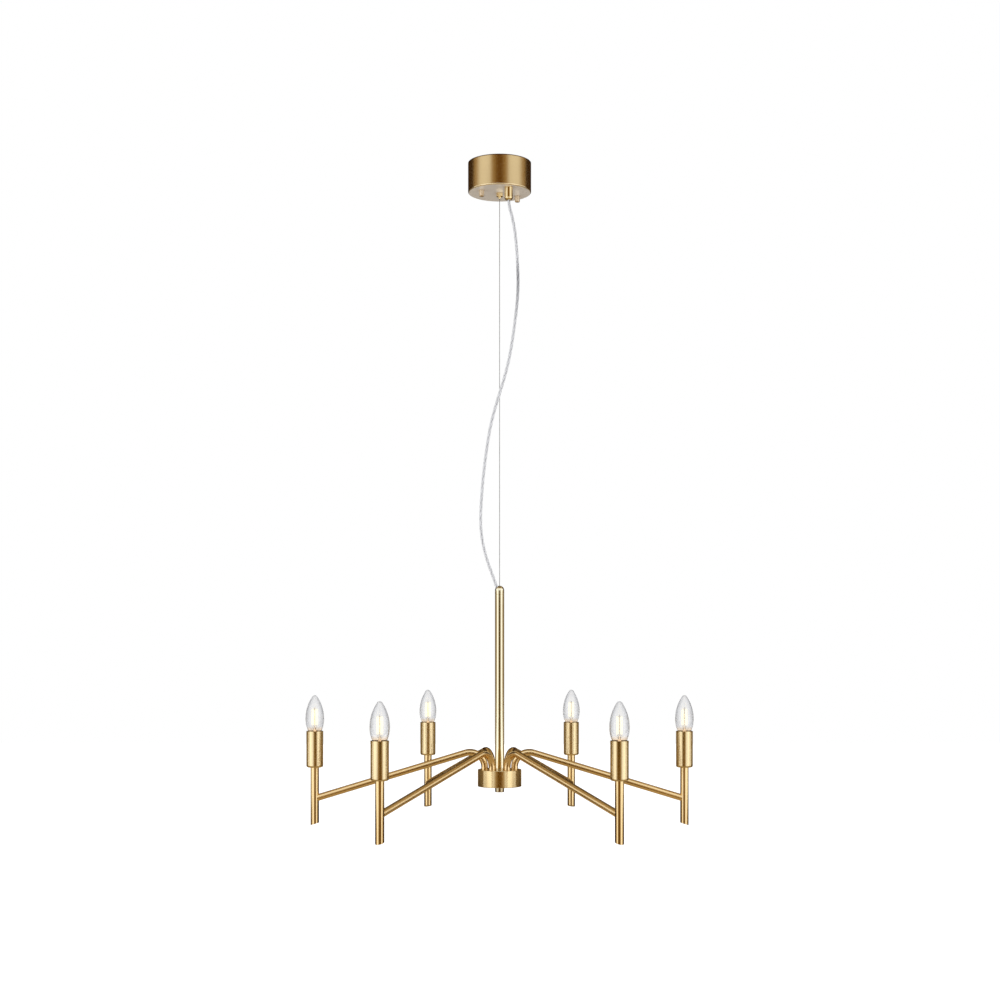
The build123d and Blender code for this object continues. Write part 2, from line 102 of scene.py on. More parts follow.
def hanging_line(name, route, steps):
    """The points of a smooth curve that hangs along a route."""
    curve = bpy.data.curves.new(name, "CURVE")
    curve.dimensions = "3D"
    spline = curve.splines.new("NURBS")
    spline.points.add(len(route) - 1)
    for control, place in zip(spline.points, route):
        control.co = (*(Vector(place) * mm), 1)
    spline.order_u = 3
    spline.use_endpoint_u = True
    spline.resolution_u = steps
    holder = bpy.data.objects.new(name, curve)
    scene.collection.objects.link(holder)
    mesh = bpy.data.meshes.new_from_object(holder)
    line = [vertex.co.copy() for vertex in mesh.vertices]
    bpy.data.objects.remove(holder)
    bpy.data.meshes.remove(mesh)
    return line


def length_of(line):
    """How long a row of points is."""
    return sum((after - before).length for before, after in zip(line, line[1:]))


cord_line = hanging_line("cord line", cord_route, steps=12)
wire_line = hanging_line("wire line", wire_route, steps=200)
print("cord", round(length_of(cord_line), 4), "m in", len(cord_line), "points")
print("wire", round(length_of(wire_line), 4), "m in", len(wire_line), "points")

# %% [markdown]
# A ring of points is carried along the line without twisting, and neighbouring rings are joined
# by faces. The same skin serves for the clear sleeve, for the tinned wires that wind inside it,
# and for the steel rope, whose ring has six lobes, one for each outer strand, and turns as it goes.

# %% Rings along a line
def carried_axes(line):
    """Two cross directions at each point of a line, carried along without twist."""
    last = len(line) - 1
    ways = [line[min(i + 1, last)] - line[max(i - 1, 0)] for i in range(last + 1)]
    side = ways[0].orthogonal().normalized()
    axes = []
    for way in ways:
        way.normalize()
        side = (side - way * side.dot(way)).normalized()
        axes.append((side, way.cross(side)))
    return axes


end_cap_angle = radians(75)


def skin(name, strands):
    """One closed mesh over rows of rings."""
    points, faces = [], []
    for rings in strands:
        start, sides = len(points), len(rings[0])
        for ring in rings:
            points.extend(ring)
        for row in range(len(rings) - 1):
            for side in range(sides):
                here = start + row * sides + side
                beside = start + row * sides + (side + 1) % sides
                faces.append((here, beside, beside + sides, here + sides))
        faces.append(tuple(range(start + sides - 1, start - 1, -1)))
        faces.append(tuple(range(len(points) - sides, len(points))))
    mesh = bpy.data.meshes.new(name)
    mesh.from_pydata(points, [], faces)
    mesh.shade_smooth()
    mesh.set_sharp_from_angle(angle=end_cap_angle)
    piece = bpy.data.objects.new(name, mesh)
    scene.collection.objects.link(piece)
    return piece


def round_rings(line, axes, radius, sides):
    """Plain round rings about each point of a line."""
    turns = [2 * pi * side / sides for side in range(sides)]
    return [
        [centre + radius * (cos(turn) * across + sin(turn) * up) for turn in turns]
        for centre, (across, up) in zip(line, axes)
    ]


# %% The clear cord with its three tinned wires
cord_radius = 2.75 * mm
core_radius = 0.85 * mm
core_lay_radius = 1.08 * mm
core_lay_length = 46 * mm
core_count = 3
cord_axes = carried_axes(cord_line)
cord_reach = [0.0]
for before, after in zip(cord_line, cord_line[1:]):
    cord_reach.append(cord_reach[-1] + (after - before).length)
sleeve_rings = round_rings(cord_line, cord_axes, cord_radius, sides=20)
core_rings = []
for core in range(core_count):
    core_line = []
    for centre, (across, up), reach in zip(cord_line, cord_axes, cord_reach):
        turn = 2 * pi * (core / core_count + reach / core_lay_length)
        core_line.append(centre + core_lay_radius * (cos(turn) * across + sin(turn) * up))
    core_rings.append(round_rings(core_line, carried_axes(core_line), core_radius, sides=10))
print("tinned wires", len(core_rings))

# %% [markdown]
# The cord has to follow two motions. Near the canopy it bends when the lamp swings, and further
# down it gathers in its bows when the lamp is set higher. A piece can blend across one joint, so
# the cord is made in two lengths. They meet at the widest point of its first bow, where it hangs
# straight.

# %% Two lengths of cord
bow_height, stem_mouth = -0.247, -0.800
bow = min(range(len(cord_line)), key=lambda i: abs(cord_line[i].z - bow_height))
stretches = {"upper": slice(0, bow + 1), "lower": slice(bow, None)}
cord_sleeves, cord_cores = {}, {}
for stretch, points in stretches.items():
    cord_sleeves[stretch] = skin(f"clear_cord_{stretch}", [sleeve_rings[points]])
    cord_cores[stretch] = skin(f"cord_wires_{stretch}", [rings[points] for rings in core_rings])
    for piece, slot in ((cord_sleeves[stretch], "clear_cord"), (cord_cores[stretch], "steel_wire")):
        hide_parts("power_cord")
        if stretch == "upper":
            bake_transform(piece)
        else:
            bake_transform(piece)
print("cord lengths", [round(length_of(cord_line[points]), 3) for points in stretches.values()])

# %% [markdown]
# The steel rope is one skin with six lobes that wind round it.

# %% Steel wire
wire_radius = 0.75 * mm
strand_radius = 0.25 * mm
valley_radius = 0.62 * mm
strand_count = 6
strand_lay_length = 11 * mm
rope_sides = 24
lay_radius = wire_radius - strand_radius
rope_rings = []
for centre, (across, up) in zip(wire_line, carried_axes(wire_line)):
    twist = 2 * pi * (wire_line[0] - centre).length / strand_lay_length
    ring = []
    for side in range(rope_sides):
        turn = 2 * pi * side / rope_sides
        off = (turn + pi / strand_count) % (2 * pi / strand_count) - pi / strand_count
        lobe = lay_radius * cos(off) + sqrt(max(strand_radius**2 - (lay_radius * sin(off)) ** 2, 0))
        out = max(lobe, valley_radius)
        ring.append(centre + out * (cos(turn + twist) * across + sin(turn + twist) * up))
    rope_rings.append(ring)
steel_wire = skin("steel_wire", [rope_rings])
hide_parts("suspension_wire")
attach(steel_wire, "hanger")
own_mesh(steel_wire)

# %% [markdown]
# ## Tools for turned metal
# Nearly every part of this lamp is turned on a lathe or bent from tube. A turned piece can be
# made by hand in the same way: add one ring, then extrude it and resize it from step to step
# along the outline. Edges are broken by arcs in the outline or by a Bevel modifier, because real
# metal always catches a thin line of light there. Smooth shading would let such a round bend the
# reflections on a long wall beside it, so a wall gets one more ring close to each of its ends.

# %% Turning, rounding and drilling
def arc(centre_radius, centre_height, radius, start, end, steps):
    """Points of an outline on a round, in millimetres and degrees."""
    turns = [radians(start + (end - start) * step / steps) for step in range(steps + 1)]
    return [(centre_radius + radius * cos(t), centre_height + radius * sin(t)) for t in turns]


def new_ring(name, sides, radius, height):
    """Add one ring of points, in millimetres, and go into edit mode on it."""
    bpy.ops.object.select_all(action="DESELECT")
    bpy.ops.mesh.primitive_circle_add(vertices=sides, radius=radius * mm, location=(0, 0, height * mm))
    piece = bpy.context.active_object
    piece.name = name
    piece.data.name = name
    bpy.ops.object.transform_apply(location=True, rotation=True, scale=True)
    bpy.ops.object.mode_set(mode="EDIT")
    bpy.ops.mesh.select_all(action="SELECT")
    return piece


weld_distance = 0.001 * mm
long_run, ring_gap = 5.0, 0.3


def close_up():
    """Merge doubles, close open ends, turn the faces outwards and leave edit mode."""
    bpy.ops.mesh.select_all(action="SELECT")
    bpy.ops.mesh.remove_doubles(threshold=weld_distance)
    bpy.ops.mesh.fill_holes(sides=0)
    bpy.ops.mesh.select_all(action="SELECT")
    bpy.ops.mesh.normals_make_consistent(inside=False)
    bpy.ops.object.mode_set(mode="OBJECT")


def firm(outline):
    """Add a ring near both ends of every long straight run, so that its shading stays straight."""
    rings = [outline[0]]
    for start, end in zip(outline, outline[1:]):
        length = dist(start, end)
        if length > long_run:
            for share in (ring_gap / length, 1 - ring_gap / length):
                rings.append(tuple(Vector(start).lerp(Vector(end), share)))
        rings.append(end)
    return rings


def turned(name, outline, sides=96, pointed=False):
    """Turn a piece from an outline of radius and height. The first point again closes a wall."""
    radius, height = outline[0]
    piece = new_ring(name, sides, radius, height)
    for next_radius, next_height in outline[1:]:
        rise = (next_height - height) * mm
        bpy.ops.mesh.extrude_edges_move(TRANSFORM_OT_translate={"value": (0, 0, rise)})
        factor = next_radius / radius
        bpy.ops.transform.resize(value=(factor, factor, 1), center_override=(0, 0, next_height * mm))
        radius, height = next_radius, next_height
    if pointed:
        bpy.ops.mesh.merge(type="CENTER")
    close_up()
    return piece


def only(piece):
    """Make one piece the selected and active object."""
    bpy.ops.object.select_all(action="DESELECT")
    piece.select_set(True)
    bpy.context.view_layer.objects.active = piece


def smoothed(piece, bevel=0.0, steps=2, sharper_than=30):
    """Smooth shading, and a bevel on every edge that is sharper than an angle."""
    only(piece)
    bpy.ops.object.shade_smooth_by_angle(angle=radians(sharper_than))
    if bevel:
        bpy.ops.object.modifier_add(type="BEVEL")
        edge = piece.modifiers[-1]
        edge.width = bevel * mm
        edge.segments = steps
        edge.limit_method = "ANGLE"
        edge.angle_limit = radians(sharper_than)
        edge.harden_normals = True
        bpy.ops.object.modifier_apply(modifier=edge.name)
    return piece


def drilled(piece, holes, low, high, way=(0, 0, 1)):
    """Cut round holes of (x, y, radius) through a piece between two heights."""
    for x, y, radius in holes:
        middle = Vector((x, y, (low + high) / 2)) * mm
        bpy.ops.object.select_all(action="DESELECT")
        bpy.ops.mesh.primitive_cylinder_add(
            vertices=64,
            radius=radius * mm,
            depth=(high - low) * mm,
            location=middle,
            rotation=Vector(way).to_track_quat("Z", "Y").to_euler(),
        )
        drill = bpy.context.active_object
        only(piece)
        bpy.ops.object.modifier_add(type="BOOLEAN")
        hole = piece.modifiers[-1]
        hole.operation = "DIFFERENCE"
        hole.solver = "EXACT"
        hole.object = drill
        bpy.ops.object.modifier_apply(modifier=hole.name)
        bpy.data.objects.remove(drill)
    return piece


def joined(name, *parts):
    """Join several meshes into one piece."""
    only(parts[0])
    for part in parts:
        part.select_set(True)
    bpy.ops.object.join()
    parts[0].name = name
    parts[0].data.name = name
    return parts[0]


def fit(piece, body, slot, *nodes):
    """Let a finished piece ride on its body and stand for its parts of the frame."""
    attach(piece, body)
    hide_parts(*nodes)
    return piece


# %% [markdown]
# ## The canopy
# The canopy is a drawn cup, 120 mm across, with a soft edge where wall meets floor. That edge
# shows as a bright line from below, partly by its own reflection and partly by a highlight painted
# into the canopy's finish. Its holes are drilled for the cord grip and the two studs, and the hole in the
# middle is part of the outline.

# %% Canopy cup
canopy_radius, canopy_low, canopy_wall, canopy_edge = 60.0, -57.0, 1.2, 2.5
canopy_floor = canopy_low + canopy_wall
edge_centre = (canopy_radius - canopy_edge, canopy_low + canopy_edge)
cord_spot = (17.0, -42.0)
nut_spots = {"left": (-34.0, -20.0), "right": (34.0, 20.0)}
thread_radius, stud_hole = 5.0, 2.3
canopy = turned(
    "canopy",
    firm([
        (thread_radius, canopy_low),
        *arc(*edge_centre, canopy_edge, -90, 0, 8),
        (canopy_radius, -0.4),
        (canopy_radius - 0.4, 0.0),
        (canopy_radius - canopy_wall, 0.0),
        *arc(*edge_centre, canopy_edge - canopy_wall, 0, -90, 6),
        (thread_radius, canopy_floor),
        (thread_radius, canopy_low),
    ]),
    sides=144,
)
holes = [(*cord_spot, thread_radius), *((*spot, stud_hole) for spot in nut_spots.values())]
drilled(canopy, holes, canopy_low - 2, canopy_floor + 1)
smoothed(canopy)
fit(canopy, "canopy", "satin_brass", "canopy_cup")
print("canopy", len(canopy.data.polygons), "faces")

# %% [markdown]
# Two knurled nuts pull the canopy up to its ceiling strip. Four points of the ring belong
# to one ridge, and one of the four is pulled in along the grip, which leaves upright grooves.

# %% Knurled nuts
nut_high, nut_length, nut_radius, nut_bore = canopy_low - 0.05, 11.5, 5.3, 2.05
knurls, knurl_points, knurl_depth = 20, 4, 0.45
nut_low = nut_high - nut_length
knurl_heights = (nut_low + 2.4, nut_high - 1.8)
nut_model = turned(
    "nut model",
    [
        (nut_bore, nut_high - 9.0),
        (nut_bore, nut_high),
        (nut_radius - 0.4, nut_high),
        (nut_radius, nut_high - 0.4),
        (nut_radius, nut_high - 1.2),
        (nut_radius, knurl_heights[1]),
        (nut_radius, knurl_heights[0]),
        (nut_radius, nut_low + 1.8),
        *arc(nut_radius - 1.4, nut_low + 1.4, 1.4, 0, -80, 5),
        (3.0, nut_low),
    ],
    sides=knurl_points * knurls,
)
for vertex in nut_model.data.vertices:
    number = round(atan2(vertex.co.y, vertex.co.x) / (2 * pi) * knurl_points * knurls)
    grooved = min(abs(vertex.co.z / mm - height) for height in knurl_heights) < 0.01
    vertex.select = grooved and number % knurl_points == 0
bpy.ops.object.mode_set(mode="EDIT")
groove_factor = 1 - knurl_depth / nut_radius
bpy.ops.transform.resize(value=(groove_factor, groove_factor, 1), center_override=(0, 0, 0))
bpy.ops.object.mode_set(mode="OBJECT")
smoothed(nut_model, sharper_than=24)


def placed_copy(model, name, matrix):
    """A copy of a model with its own mesh, carried to its place."""
    piece = bpy.data.objects.new(name, model.data.copy())
    piece.data.name = name
    scene.collection.objects.link(piece)
    piece.data.transform(matrix)
    return piece


nuts = []
for side, spot in nut_spots.items():
    to_spot = Matrix.Translation(Vector((*spot, 0)) * mm)
    nut = placed_copy(nut_model, f"knurled_nut_{side}", to_spot)
    nuts.append(fit(nut, f"nut_{side}", "pale_brass", f"canopy_nut_{side}"))
bpy.data.objects.remove(nut_model)
print("nuts", len(nuts[0].data.polygons), "faces each")

# %% [markdown]
# The wire grip is a hexagon on a screwed barrel, with a short tapered nose where the wire comes
# out. The cord grip beside it is a polished bullet. Both have a lock nut inside the canopy.

# %% Wire grip and cord grip
def lock_nut(name, x, y):
    """A hexagon nut that sits on the canopy's floor."""
    corner, low, high = 8.08, canopy_floor, canopy_floor + 4.0
    nut = turned(
        name,
        [(thread_radius, low), (corner, low), (corner, high), (thread_radius, high), (thread_radius, low)],
        sides=6,
    )
    nut.data.transform(Matrix.Translation(Vector((x, y, 0)) * mm))
    return smoothed(nut, bevel=0.35)


wire_hole, hex_corner, hex_bore, nose_radius = 1.0, 6.93, 3.0, 2.6
hex_high, hex_low, wire_mouth = canopy_low - 0.02, canopy_low - 7.0, canopy_low - 11.3
hexagon = turned(
    "hexagon",
    [
        (hex_bore, hex_high),
        (6.5, hex_high),
        (hex_corner, canopy_low - 0.6),
        (hex_corner, hex_low + 0.9),
        (6.1, hex_low),
        (hex_bore, hex_low),
    ],
    sides=6,
)
smoothed(hexagon, bevel=0.2)
nose_high = hex_low + 1.0
nose = turned(
    "nose",
    [
        (wire_hole, nose_high),
        (nose_radius, nose_high),
        (nose_radius, hex_low),
        *arc(1.8, wire_mouth + 0.3, 0.3, 0, -90, 3),
        (1.5, wire_mouth),
        (wire_hole, hex_low),
        (wire_hole, nose_high),
    ],
    sides=48,
)
smoothed(nose)
barrel_low, barrel_high = canopy_low + 0.2, canopy_low + 13.0
barrel = turned(
    "barrel",
    [
        (wire_hole, barrel_low),
        (thread_radius, barrel_low),
        (thread_radius, barrel_high - 0.4),
        (thread_radius - 0.4, barrel_high),
        (wire_hole, barrel_high),
        (wire_hole, barrel_low),
    ],
    sides=48,
)
smoothed(barrel)
wire_grip = joined("wire_grip_brass", hexagon, nose, barrel, lock_nut("wire nut", 0, 0))
fit(wire_grip, "canopy", "polished_brass", "wire_grip")

bullet_low, bullet_high = canopy_low - 25.0, canopy_low + 11.0
bullet_radius, bullet_round, cord_hole = 7.8, 4.9, 2.85
bullet = turned(
    "bullet",
    firm([
        (cord_hole, bullet_low),
        *arc(bullet_radius - bullet_round, bullet_low + bullet_round, bullet_round, -90, 0, 12),
        (bullet_radius, canopy_low - 0.8),
        (7.5, canopy_low),
        (thread_radius, canopy_low),
        (thread_radius, bullet_high - 0.4),
        (thread_radius - 0.4, bullet_high),
        (cord_hole, bullet_high),
        (cord_hole, bullet_low),
    ]),
    sides=72,
)
smoothed(bullet)
bullet.data.transform(Matrix.Translation(Vector((*cord_spot, 0)) * mm))
cord_grip = joined("cord_grip_brass", bullet, lock_nut("cord nut", *cord_spot))
fit(cord_grip, "canopy", "polished_brass", "cord_grip")
print("grips", len(wire_grip.data.polygons), len(cord_grip.data.polygons), "faces")

# %% [markdown]
# ## Stem, drum and finial
# The stem is a plain tube with a domed cap. The cord goes in through the dome's shoulder, so that
# hole is drilled along the cord's own direction. A hair line is left where the cap meets the tube.

# %% Stem
stem_radius, stem_bore, cap_bore = 8.75, 7.75, 7.15
cap_seam, dome_centre = -821.2, -813.45
hub_top, hub_low = -1154.4, -1186.6
cap = turned(
    "stem_dome",
    firm([
        (cap_bore, cap_seam),
        (stem_radius - 0.25, cap_seam),
        (stem_radius, cap_seam + 0.25),
        *arc(0, dome_centre, stem_radius, 0, 83.4, 24),
        (wire_hole, dome_centre + 5.45),
        *arc(0, dome_centre, cap_bore, 82, 0, 12),
        (cap_bore, cap_seam),
    ]),
    sides=72,
)
cap_hole, drill_offset, drill_reach = 3.3, 8.0, 9.0
cord_end = Vector(cord_route[-1])
cord_way = Vector(cord_route[-2]) - cord_end
x, y, drill_height = cord_end + cord_way.normalized() * drill_offset
drilled(cap, [(x, y, cap_hole)], drill_height - drill_reach, drill_height + drill_reach, cord_way)
smoothed(cap)
fit(cap, "pendant", "polished_brass", "stem_cap")

tube_top = cap_seam - 0.1
stem = turned(
    "stem_brass",
    firm([
        (stem_bore, hub_top),
        (stem_radius - 0.15, hub_top),
        (stem_radius, hub_top + 0.15),
        (stem_radius, tube_top - 0.25),
        (stem_radius - 0.25, tube_top),
        (stem_bore, tube_top),
        (stem_bore, hub_top),
    ]),
    sides=72,
)
smoothed(stem)
fit(stem, "pendant", "polished_brass", "stem_tube")
print("stem", len(stem.data.polygons), "faces, dome", len(cap.data.polygons))

# %% [markdown]
# The drum has a flat top with six holes for the arms, a straight wall and a narrow round at both
# edges. A thin disc closes it from below, and the finial under it holds everything together.

# %% Drum, floor and finial
arm_places = {
    "front_left": (240.0, 233.5),
    "left": (180.0, 180.0),
    "rear_left": (120.0, 115.0),
    "rear_right": (60.0, 65.0),
    "right": (0.0, 0.0),
    "front_right": (300.0, 306.5),
}
stub_pitch_radius, stub_hole = 28.5, 6.55
stub_places = {
    place: Vector((cos(radians(stub)), sin(radians(stub)), 0)) * stub_pitch_radius
    for place, (stub, _) in arm_places.items()
}
drum_radius, drum_round, drum_bore, drum_ceiling = 41.6, 0.9, 39.6, hub_top - 3.0
drum_round_centre = drum_radius - drum_round
drum = turned(
    "drum",
    firm([
        (thread_radius, hub_top),
        *arc(drum_round_centre, hub_top - drum_round, drum_round, 90, 0, 4),
        *arc(drum_round_centre, hub_low + drum_round, drum_round, 0, -90, 4),
        (drum_bore, hub_low),
        (drum_bore, drum_ceiling),
        (thread_radius, drum_ceiling),
        (thread_radius, hub_top),
    ]),
    sides=144,
)
drilled(drum, [(spot.x, spot.y, stub_hole) for spot in stub_places.values()], hub_top - 4, hub_top + 1)
smoothed(drum)
fit(drum, "pendant", "satin_brass", "hub_shell")
disc_radius, disc_high = 39.5, hub_low + 2.2
floor_disc = turned(
    "drum_floor",
    [
        (thread_radius, hub_low),
        (disc_radius - 0.3, hub_low),
        (disc_radius, hub_low + 0.3),
        (disc_radius, disc_high),
        (thread_radius, disc_high),
        (thread_radius, hub_low),
    ],
    sides=144,
)
smoothed(floor_disc)
fit(floor_disc, "pendant", "satin_brass", "hub_cover")
finial_high, finial_low, finial_bore, finial_round = hub_low - 0.05, hub_low - 11.1, 5.05, 1.2
finial = turned(
    "finial_brass",
    firm([
        (finial_bore, hub_low - 7.0),
        (finial_bore, finial_high),
        (stem_radius - 0.25, finial_high),
        (stem_radius, finial_high - 0.25),
        *arc(stem_radius - finial_round, finial_low + finial_round, finial_round, 0, -90, 6),
        (4.0, finial_low),
    ]),
    sides=72,
)
smoothed(finial)
fit(finial, "finial_nut", "polished_brass", "finial")
print("drum", len(drum.data.polygons), "faces, finial", len(finial.data.polygons))

# %% [markdown]
# ## Arm, post and sleeve
# All six arms are alike, so one is made in its own frame, with its stub upright on the axis and
# the arm along +X, and then copied to its six places. The bend is a spin of the tube's ring
# about the bend's centre, which is what a tube bender does.

# %% Arm
arm_radius, bend_radius, bend_start, stub_foot = 6.5, 28.0, -1149.9, -1161.5
fall = radians(16.8)
arm_reach, end_gap = 323.5, 2.5
arm_model = new_ring("arm model", 64, arm_radius, stub_foot)
stub_rise = (bend_start - stub_foot) * mm
bpy.ops.mesh.extrude_edges_move(TRANSFORM_OT_translate={"value": (0, 0, stub_rise)})
bend_centre = (bend_radius * mm, 0, bend_start * mm)
bpy.ops.mesh.spin(steps=32, angle=-(pi / 2 + fall), center=bend_centre, axis=(0, 1, 0))
bend_end = bend_radius + bend_radius * sin(fall)
run = (arm_reach - end_gap - bend_end) / cos(fall)
way_down = (run * cos(fall) * mm, 0, -run * sin(fall) * mm)
bpy.ops.mesh.extrude_edges_move(TRANSFORM_OT_translate={"value": way_down})
close_up()
smoothed(arm_model)
print("arm", len(arm_model.data.polygons), "faces")

# %% [markdown]
# The post is a tube whose foot is cut on the slope of the arm. The cut is made by bisecting the
# tube with a slanted plane that also fills the end, and a small bevel softens its edge. The
# sleeve above it is a cup with a rounded foot, which hides the lampholder.

# %% Post and sleeve
post_radius, post_low, pin_radius = 8.0, -1260.4, 6.6
sleeve_low, sleeve_high = -1150.6, -1081.4
post_model = turned(
    "post model",
    [
        (post_radius, post_low - 4),
        (post_radius, sleeve_low),
        (pin_radius, sleeve_low),
        (pin_radius, sleeve_low + 9),
    ],
    sides=64,
)
bpy.ops.object.mode_set(mode="EDIT")
bpy.ops.mesh.select_all(action="SELECT")
bpy.ops.mesh.bisect(
    plane_co=(post_radius * mm, 0, post_low * mm),
    plane_no=(sin(fall), 0, cos(fall)),
    use_fill=True,
    clear_inner=True,
)
bpy.ops.object.mode_set(mode="OBJECT")
smoothed(post_model, bevel=0.35)
to_post = Matrix.Translation((arm_reach * mm, 0, 0))
post_model.data.transform(to_post)

sleeve_radius, sleeve_round, sleeve_wall, sleeve_floor = 16.0, 4.0, 1.2, 1.5
round_centre, inner_round = sleeve_radius - sleeve_round, sleeve_round - sleeve_wall
sleeve_model = turned(
    "sleeve model",
    firm([
        (pin_radius, sleeve_low),
        *arc(round_centre, sleeve_low + sleeve_round, sleeve_round, -90, 0, 10),
        (sleeve_radius, sleeve_high - 0.35),
        (sleeve_radius - 0.35, sleeve_high),
        (sleeve_radius - sleeve_wall + 0.3, sleeve_high),
        (sleeve_radius - sleeve_wall, sleeve_high - 0.3),
        *arc(round_centre, sleeve_low + sleeve_floor + inner_round, inner_round, 0, -90, 6),
        (pin_radius, sleeve_low + sleeve_floor),
        (pin_radius, sleeve_low),
    ]),
    sides=96,
)
smoothed(sleeve_model)
sleeve_model.data.transform(to_post)
print("post", len(post_model.data.polygons), "faces, sleeve", len(sleeve_model.data.polygons))

# %% [markdown]
# ## Candle bulb
# The glass is a thin shell: its outline is turned once and a Solidify modifier gives it a wall,
# so light bends at both faces as in a real bulb. Inside stand a glass mount, a thin rod and four
# upright filaments, held by bare wires at both ends.

# %% Glass
belly, neck = sleeve_high + 23.0, sleeve_high - 8.0
belly_radius, neck_radius, tip_radius, tip, glass_wall = 17.5, 8.6, 5.5, -1013.3, 0.8
neck_step, tip_step = belly_radius - neck_radius, belly_radius - tip_radius
neck_arc = ((belly - neck) ** 2 + neck_step**2) / (2 * neck_step)
tip_rise = tip - tip_radius - belly
candle_arc = tip_radius + (tip_rise**2 + tip_step**2) / (2 * tip_step)
neck_turn = degrees(asin((belly - neck) / neck_arc))
tip_turn = degrees(atan2(tip_rise, candle_arc - belly_radius))
glass_model = turned(
    "glass model",
    [*arc(belly_radius - neck_arc, belly, neck_arc, -neck_turn, 0, 16),
     *arc(belly_radius - candle_arc, belly, candle_arc, 0, tip_turn, 24)[1:],
     *arc(0, belly + tip_rise, tip_radius, tip_turn, 88, 10)[1:]],
    sides=72,
    pointed=True,
)
only(glass_model)
bpy.ops.object.mode_set(mode="EDIT")
bpy.ops.mesh.select_all(action="DESELECT")
bpy.ops.object.mode_set(mode="OBJECT")
for face in glass_model.data.polygons:
    face.select = len(face.vertices) > 4
bpy.ops.object.mode_set(mode="EDIT")
bpy.ops.mesh.delete(type="ONLY_FACE")
bpy.ops.object.mode_set(mode="OBJECT")
bpy.ops.object.modifier_add(type="SOLIDIFY")
wall = glass_model.modifiers[-1]
wall.thickness = glass_wall * mm
wall.offset = -1
bpy.ops.object.modifier_apply(modifier=wall.name)
smoothed(glass_model, sharper_than=50)
glass_model.data.transform(to_post)
print("glass", len(glass_model.data.polygons), "faces")

# %% Mount and filaments
press_top, rod_top, press_radius, rod_radius = neck + 11.0, sleeve_high + 45.0, 2.4, 0.9
filament_low, filament_high = sleeve_high + 11.0, sleeve_high + 42.0
filament_ring, filament_radius, filament_end, filament_turn = 5.0, 1.2, 0.55, 30
mount_model = turned(
    "mount model",
    [
        (6.4, neck),
        *arc(7.4, neck + 6.4, 5.0, -120, -180, 6),
        (press_radius, press_top - 0.8),
        (press_radius - 0.8, press_top),
        (rod_radius, press_top + 0.4),
        (rod_radius, rod_top - 0.5),
        (rod_radius - 0.5, rod_top),
    ],
    sides=36,
)
smoothed(mount_model)
stick_model = turned(
    "stick model",
    [
        (filament_end, filament_low),
        (filament_end, filament_low + 1.6),
        (filament_radius, filament_low + 2.0),
        (filament_radius, filament_high - 2.0),
        (filament_end, filament_high - 1.6),
        (filament_end, filament_high),
    ],
    sides=20,
)
smoothed(stick_model)


def bare_wire(name, start, end):
    """A short straight wire between two points, in millimetres."""
    start, end, radius = Vector(start), Vector(end), 0.35
    wire = turned(name, [(radius, 0), (radius, (end - start).length)], sides=10)
    turn = (end - start).to_track_quat("Z", "Y").to_matrix().to_4x4()
    wire.data.transform(Matrix.Translation(start * mm) @ turn)
    return smoothed(wire)


lead_foot, lead_head, spoke_height = press_top - 2, filament_low + 0.6, filament_high - 0.6
foot_share = 0.3
lead_models, sticks = [], []
for number in range(4):
    turn = radians(filament_turn + 90 * number)
    x, y = filament_ring * cos(turn), filament_ring * sin(turn)
    lead_models.append(bare_wire("lead", (x * foot_share, y * foot_share, lead_foot), (x, y, lead_head)))
    lead_models.append(bare_wire("spoke", (0, 0, spoke_height), (x, y, spoke_height)))
    sticks.append(placed_copy(stick_model, "stick", Matrix.Translation(Vector((x, y, 0)) * mm)))
lead_model = joined("lead model", *lead_models)
filament_model = joined("filament model", *sticks)
bpy.data.objects.remove(stick_model)
print("mount", len(mount_model.data.polygons), "filaments", len(filament_model.data.polygons), "faces")

# %% [markdown]
# Each arm has two angles: where its stub stands on the drum, and the way the arm points, which is
# a few degrees off for the front and rear arms. A bulb's inside is only moved to its place and
# not turned with the arm, so that all six show their filaments alike.

# %% Six copies
candle_parts = {
    "arm": (arm_model, "bent_arm", "arm", "satin_brass", "arm"),
    "post": (post_model, "candle_post", "arm", "satin_brass", "post"),
    "sleeve": (sleeve_model, "candle_sleeve", "arm", "satin_brass", "sleeve"),
    "glass": (glass_model, "candle_glass", "bulb", "bulb_glass", "bulb_glass"),
    "mount": (mount_model, "glass_mount", "bulb", "bulb_glass", "filaments"),
    "leads": (lead_model, "bare_leads", "bulb", "nickel_base", "filaments"),
    "filaments": (filament_model, "light_sticks", "bulb", "filament", "filaments"),
}
unturned_kinds = ("mount", "leads", "filaments")
candle_sets = {place: {} for place in arm_places}
for place, (_, arm_turn) in arm_places.items():
    to_place = Matrix.Translation(stub_places[place] * mm) @ Matrix.Rotation(radians(arm_turn), 4, "Z")
    upright = Matrix.Translation((to_place @ to_post).translation)
    for kind, (model, title, body, slot, node) in candle_parts.items():
        piece = placed_copy(model, f"{title}_{place}", upright if kind in unturned_kinds else to_place)
        candle_sets[place][kind] = fit(piece, f"{body}_{place}", slot, f"{node}_{place}")
for model, *_ in candle_parts.values():
    bpy.data.objects.remove(model)
print("candles", len(candle_sets))

# %% [markdown]
# ## Finishes
# Metal is described by its colour, by how rough it is and by the direction of its brushing. Each
# brass below draws fine noise out along the brush marks, lets it vary the roughness and lift the
# surface by a few microns, and adds a slow cloud of slightly darker and lighter metal.

# %% Building blocks of a finish
def new_finish(name):
    """A new material with its nodes, its links and its main shader."""
    finish = bpy.data.materials.new(name)
    finish.use_nodes = True
    return finish, finish.node_tree.nodes, finish.node_tree.links, finish.node_tree.nodes["Principled BSDF"]


